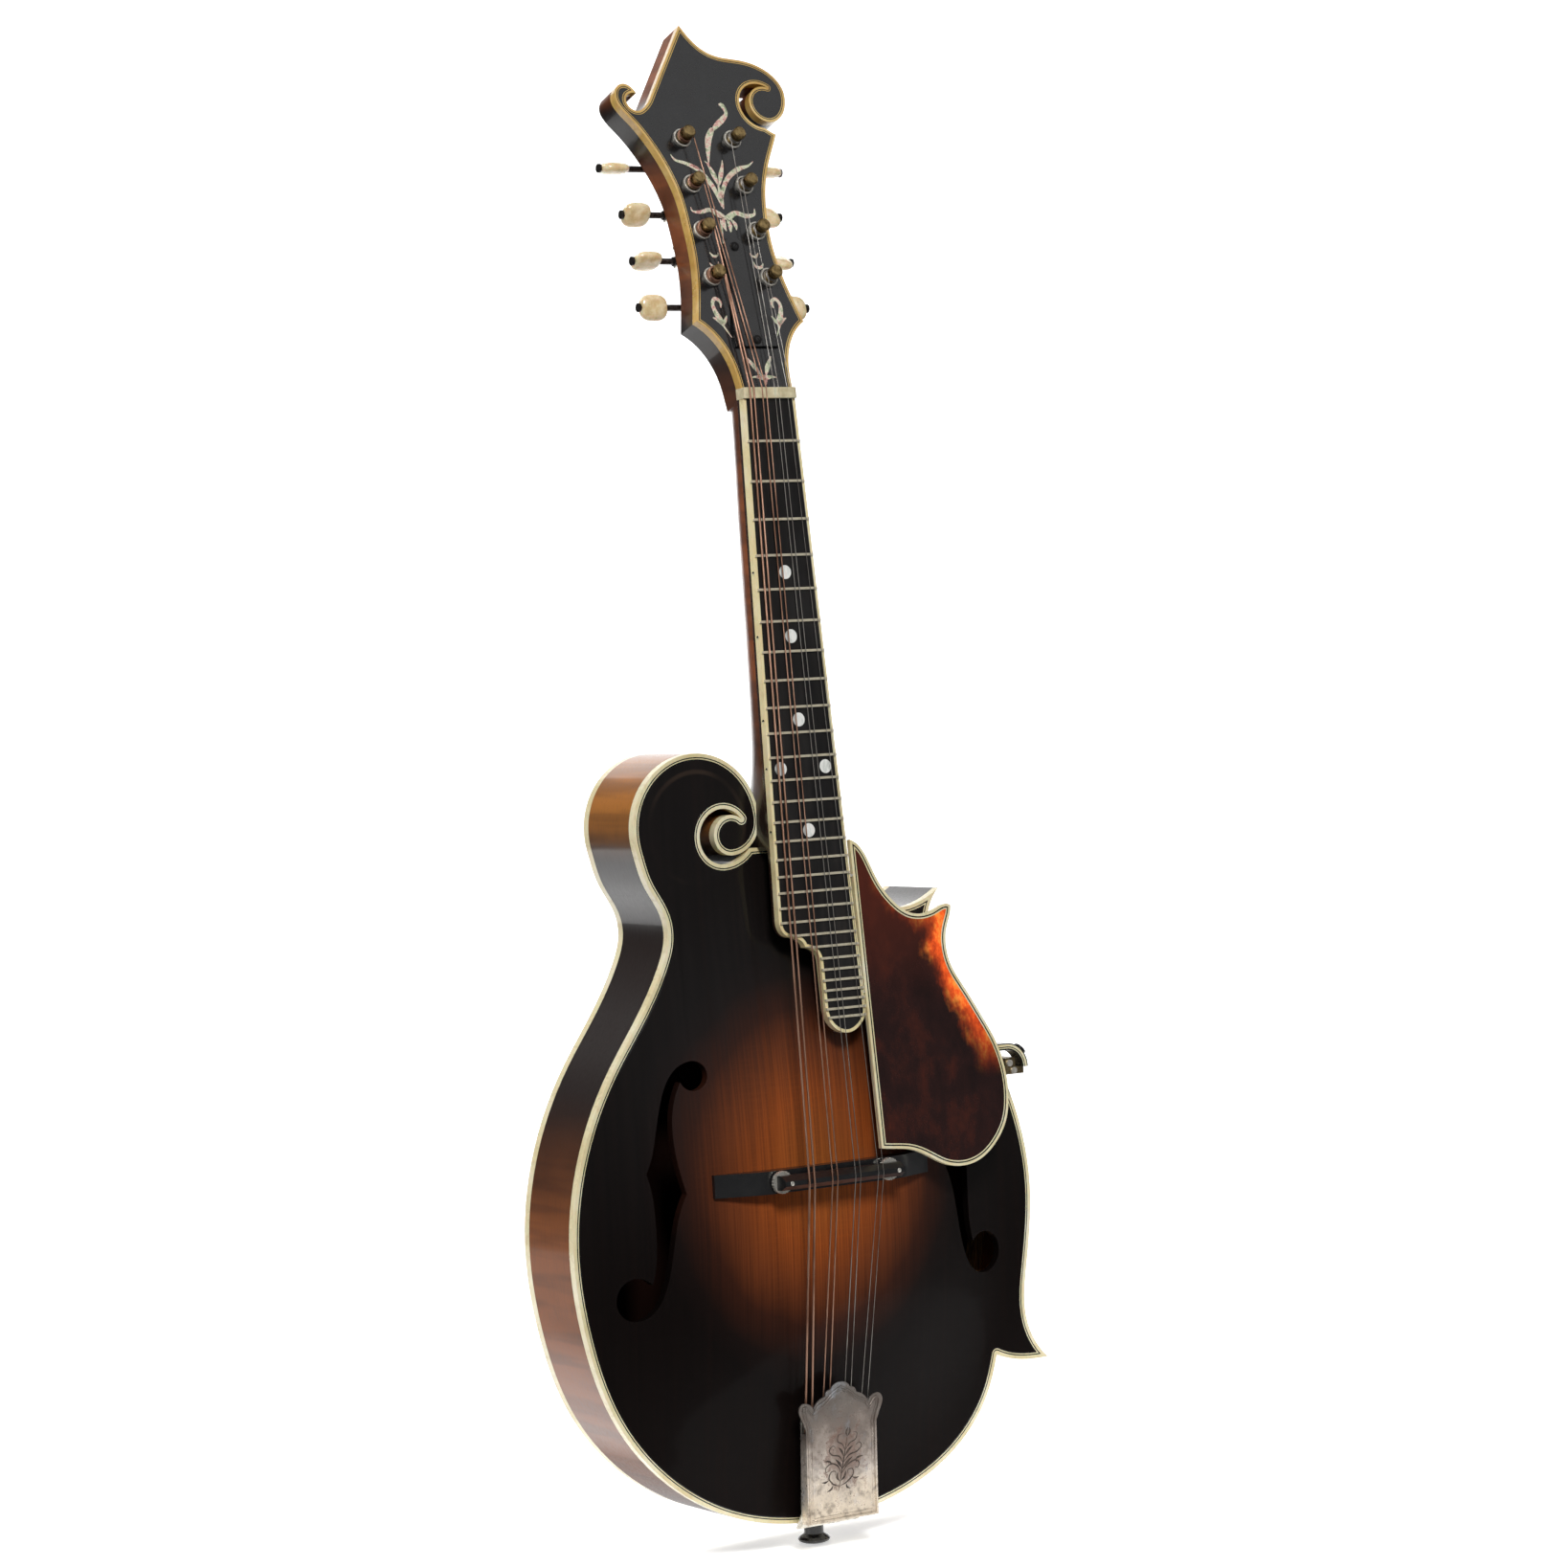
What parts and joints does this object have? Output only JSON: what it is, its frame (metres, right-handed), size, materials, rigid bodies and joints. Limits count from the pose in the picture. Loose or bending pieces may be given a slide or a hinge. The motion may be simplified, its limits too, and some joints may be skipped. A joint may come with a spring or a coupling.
{
  "type": "mandolin",
  "caption": "Carved-top mandolin with a scroll and points on the body, a raised pickguard, a slide-on tailpiece cover and geared tuners on a scrolled peghead.",
  "frame": {"origin": "centre of the end pin neck, on the centre line at the tail end of the body", "axes": "+Z along the body towards the peghead, +X to the treble side, the carved face looks along -Y"},
  "size_m": [0.2599, 0.112, 0.7128],
  "materials": {
    "spruce_top": "gloss sunburst lacquer",
    "maple_back": "gloss sunburst lacquer",
    "maple_sides": "gloss lacquer over figured wood",
    "inner_wood": "bare",
    "neck_maple": "gloss lacquer",
    "cream_binding": "polished",
    "black_veneer": "gloss lacquer",
    "ebony": "satin",
    "fret_wire": "polished",
    "pearl": "polished",
    "string_wire": "drawn and wound",
    "bone": "polished bone",
    "steel_rod": "plain",
    "brass": "turned",
    "black_plastic": "polished",
    "nickel": "aged nickel",
    "engraved_nickel": "stamped and tarnished",
    "tortoise": "translucent celluloid",
    "post_brass": "aged",
    "ivory_button": "moulded"
  },
  "bodies": {
    "soundbox_and_neck": {"top_plate": "spruce_top", "back_plate": "maple_back", "body_bindings": "cream_binding", "rib_bass": "maple_sides", "rib_scroll": "maple_sides", "ribs_treble": "maple_sides", "blocks_and_linings": "inner_wood", "purfling": "black_plastic", "tone_bars": "inner_wood", "neck": "neck_maple", "peghead_veneer": "black_veneer", "peghead_binding": "cream_binding", "fingerboard": "ebony", "fingerboard_binding": "cream_binding", "frets": "fret_wire", "position_dots": "pearl", "strings": "string_wire", "nut": "bone", "truss_rod": "steel_rod", "truss_rod_cover": "black_plastic", "post_bushings": "nickel", "tuner_plates": "nickel", "bridge_base": "ebony", "bridge_studs": "steel_rod", "tailpiece_base": "nickel", "end_pin": "ebony", "pickguard": "tortoise", "pickguard_binding": "cream_binding", "pickguard_bracket": "ebony", "pickguard_clamp": "nickel", "small_screws": "nickel"},
    "truss_nut": {"truss_rod_nut": "brass"},
    "cover": {"tailpiece_cover": "engraved_nickel"},
    "saddle": {"bridge_saddle": "ebony"},
    "wheel_bass": {"thumbwheel_bass": "nickel"},
    "wheel_treble": {"thumbwheel_treble": "nickel"},
    "post_bass_1": {"tuner_post_bass_1": "post_brass"},
    "worm_bass_1": {"worm_shaft_bass_1": "nickel", "tuner_button_bass_1": "ivory_button"},
    "post_bass_2": {"tuner_post_bass_2": "post_brass"},
    "worm_bass_2": {"worm_shaft_bass_2": "nickel", "tuner_button_bass_2": "ivory_button"},
    "post_bass_3": {"tuner_post_bass_3": "post_brass"},
    "worm_bass_3": {"worm_shaft_bass_3": "nickel", "tuner_button_bass_3": "ivory_button"},
    "post_bass_4": {"tuner_post_bass_4": "post_brass"},
    "worm_bass_4": {"worm_shaft_bass_4": "nickel", "tuner_button_bass_4": "ivory_button"},
    "post_treble_1": {"tuner_post_treble_1": "post_brass"},
    "worm_treble_1": {"worm_shaft_treble_1": "nickel", "tuner_button_treble_1": "ivory_button"},
    "post_treble_2": {"tuner_post_treble_2": "post_brass"},
    "worm_treble_2": {"worm_shaft_treble_2": "nickel", "tuner_button_treble_2": "ivory_button"},
    "post_treble_3": {"tuner_post_treble_3": "post_brass"},
    "worm_treble_3": {"worm_shaft_treble_3": "nickel", "tuner_button_treble_3": "ivory_button"},
    "post_treble_4": {"tuner_post_treble_4": "post_brass"},
    "worm_treble_4": {"worm_shaft_treble_4": "nickel", "tuner_button_treble_4": "ivory_button"}
  },
  "joints": [
    {"name": "truss_nut_turn", "type": "hinge", "parent": "soundbox_and_neck", "child": "truss_nut", "pos_m": [0, 0.0105, 0.56039], "axis": [0, 0.0819, 0.9966], "range_deg": [-90, 180]},
    {"name": "tailpiece_cover_slide", "type": "slide", "parent": "soundbox_and_neck", "child": "cover", "axis": [0, -0.0401, 0.9992], "range_m": [0, 0.006]},
    {"name": "saddle_lift", "type": "slide", "parent": "soundbox_and_neck", "child": "saddle", "axis": [0, -1, 0], "range_m": [0, 0.002], "deforming": ["strings"]},
    {"name": "wheel_bass_turn", "type": "hinge", "parent": "saddle", "child": "wheel_bass", "pos_m": [-0.0295, -0.0325, 0.1668], "axis": [0, -1, 0], "range_deg": [0, 900]},
    {"name": "wheel_treble_turn", "type": "hinge", "parent": "saddle", "child": "wheel_treble", "pos_m": [0.0295, -0.0325, 0.1668], "axis": [0, -1, 0], "range_deg": [0, 900]},
    {"name": "worm_bass_1_turn", "type": "hinge", "parent": "soundbox_and_neck", "child": "worm_bass_1", "pos_m": [-0.0156, 0.02829, 0.56929], "axis": [-1, 0, 0], "continuous": true},
    {"name": "post_bass_1_turn", "type": "hinge", "parent": "soundbox_and_neck", "child": "post_bass_1", "pos_m": [-0.0156, 0.01303, 0.58201], "axis": [0, -0.9444, 0.3289], "continuous": true},
    {"name": "worm_bass_2_turn", "type": "hinge", "parent": "soundbox_and_neck", "child": "worm_bass_2", "pos_m": [-0.01505, 0.03605, 0.59157], "axis": [-1, 0, 0], "continuous": true},
    {"name": "post_bass_2_turn", "type": "hinge", "parent": "soundbox_and_neck", "child": "post_bass_2", "pos_m": [-0.01505, 0.02079, 0.6043], "axis": [0, -0.9444, 0.3289], "continuous": true},
    {"name": "worm_bass_3_turn", "type": "hinge", "parent": "soundbox_and_neck", "child": "worm_bass_3", "pos_m": [-0.0145, 0.04381, 0.61386], "axis": [-1, 0, 0], "continuous": true},
    {"name": "post_bass_3_turn", "type": "hinge", "parent": "soundbox_and_neck", "child": "post_bass_3", "pos_m": [-0.0145, 0.02855, 0.62659], "axis": [0, -0.9444, 0.3289], "continuous": true},
    {"name": "worm_bass_4_turn", "type": "hinge", "parent": "soundbox_and_neck", "child": "worm_bass_4", "pos_m": [-0.01395, 0.05158, 0.63615], "axis": [-1, 0, 0], "continuous": true},
    {"name": "post_bass_4_turn", "type": "hinge", "parent": "soundbox_and_neck", "child": "post_bass_4", "pos_m": [-0.01395, 0.03631, 0.64887], "axis": [0, -0.9444, 0.3289], "continuous": true},
    {"name": "worm_treble_1_turn", "type": "hinge", "parent": "soundbox_and_neck", "child": "worm_treble_1", "pos_m": [0.0156, 0.02829, 0.56929], "axis": [1, 0, 0], "continuous": true},
    {"name": "post_treble_1_turn", "type": "hinge", "parent": "soundbox_and_neck", "child": "post_treble_1", "pos_m": [0.0156, 0.01303, 0.58201], "axis": [0, -0.9444, 0.3289], "continuous": true},
    {"name": "worm_treble_2_turn", "type": "hinge", "parent": "soundbox_and_neck", "child": "worm_treble_2", "pos_m": [0.01505, 0.03605, 0.59157], "axis": [1, 0, 0], "continuous": true},
    {"name": "post_treble_2_turn", "type": "hinge", "parent": "soundbox_and_neck", "child": "post_treble_2", "pos_m": [0.01505, 0.02079, 0.6043], "axis": [0, -0.9444, 0.3289], "continuous": true},
    {"name": "worm_treble_3_turn", "type": "hinge", "parent": "soundbox_and_neck", "child": "worm_treble_3", "pos_m": [0.0145, 0.04381, 0.61386], "axis": [1, 0, 0], "continuous": true},
    {"name": "post_treble_3_turn", "type": "hinge", "parent": "soundbox_and_neck", "child": "post_treble_3", "pos_m": [0.0145, 0.02855, 0.62659], "axis": [0, -0.9444, 0.3289], "continuous": true},
    {"name": "worm_treble_4_turn", "type": "hinge", "parent": "soundbox_and_neck", "child": "worm_treble_4", "pos_m": [0.01395, 0.05158, 0.63615], "axis": [1, 0, 0], "continuous": true},
    {"name": "post_treble_4_turn", "type": "hinge", "parent": "soundbox_and_neck", "child": "post_treble_4", "pos_m": [0.01395, 0.03631, 0.64887], "axis": [0, -0.9444, 0.3289], "continuous": true}
  ],
  "couplings": [
    {"joint": "wheel_bass_turn", "follows": "saddle_lift", "rad_per_m": 7854},
    {"joint": "wheel_treble_turn", "follows": "saddle_lift", "rad_per_m": 7854},
    {"joint": "post_bass_1_turn", "follows": "worm_bass_1_turn", "ratio": 0.066667},
    {"joint": "post_bass_2_turn", "follows": "worm_bass_2_turn", "ratio": 0.066667},
    {"joint": "post_bass_3_turn", "follows": "worm_bass_3_turn", "ratio": 0.066667},
    {"joint": "post_bass_4_turn", "follows": "worm_bass_4_turn", "ratio": 0.066667},
    {"joint": "post_treble_1_turn", "follows": "worm_treble_1_turn", "ratio": -0.066667},
    {"joint": "post_treble_2_turn", "follows": "worm_treble_2_turn", "ratio": -0.066667},
    {"joint": "post_treble_3_turn", "follows": "worm_treble_3_turn", "ratio": -0.066667},
    {"joint": "post_treble_4_turn", "follows": "worm_treble_4_turn", "ratio": -0.066667}
  ]
}
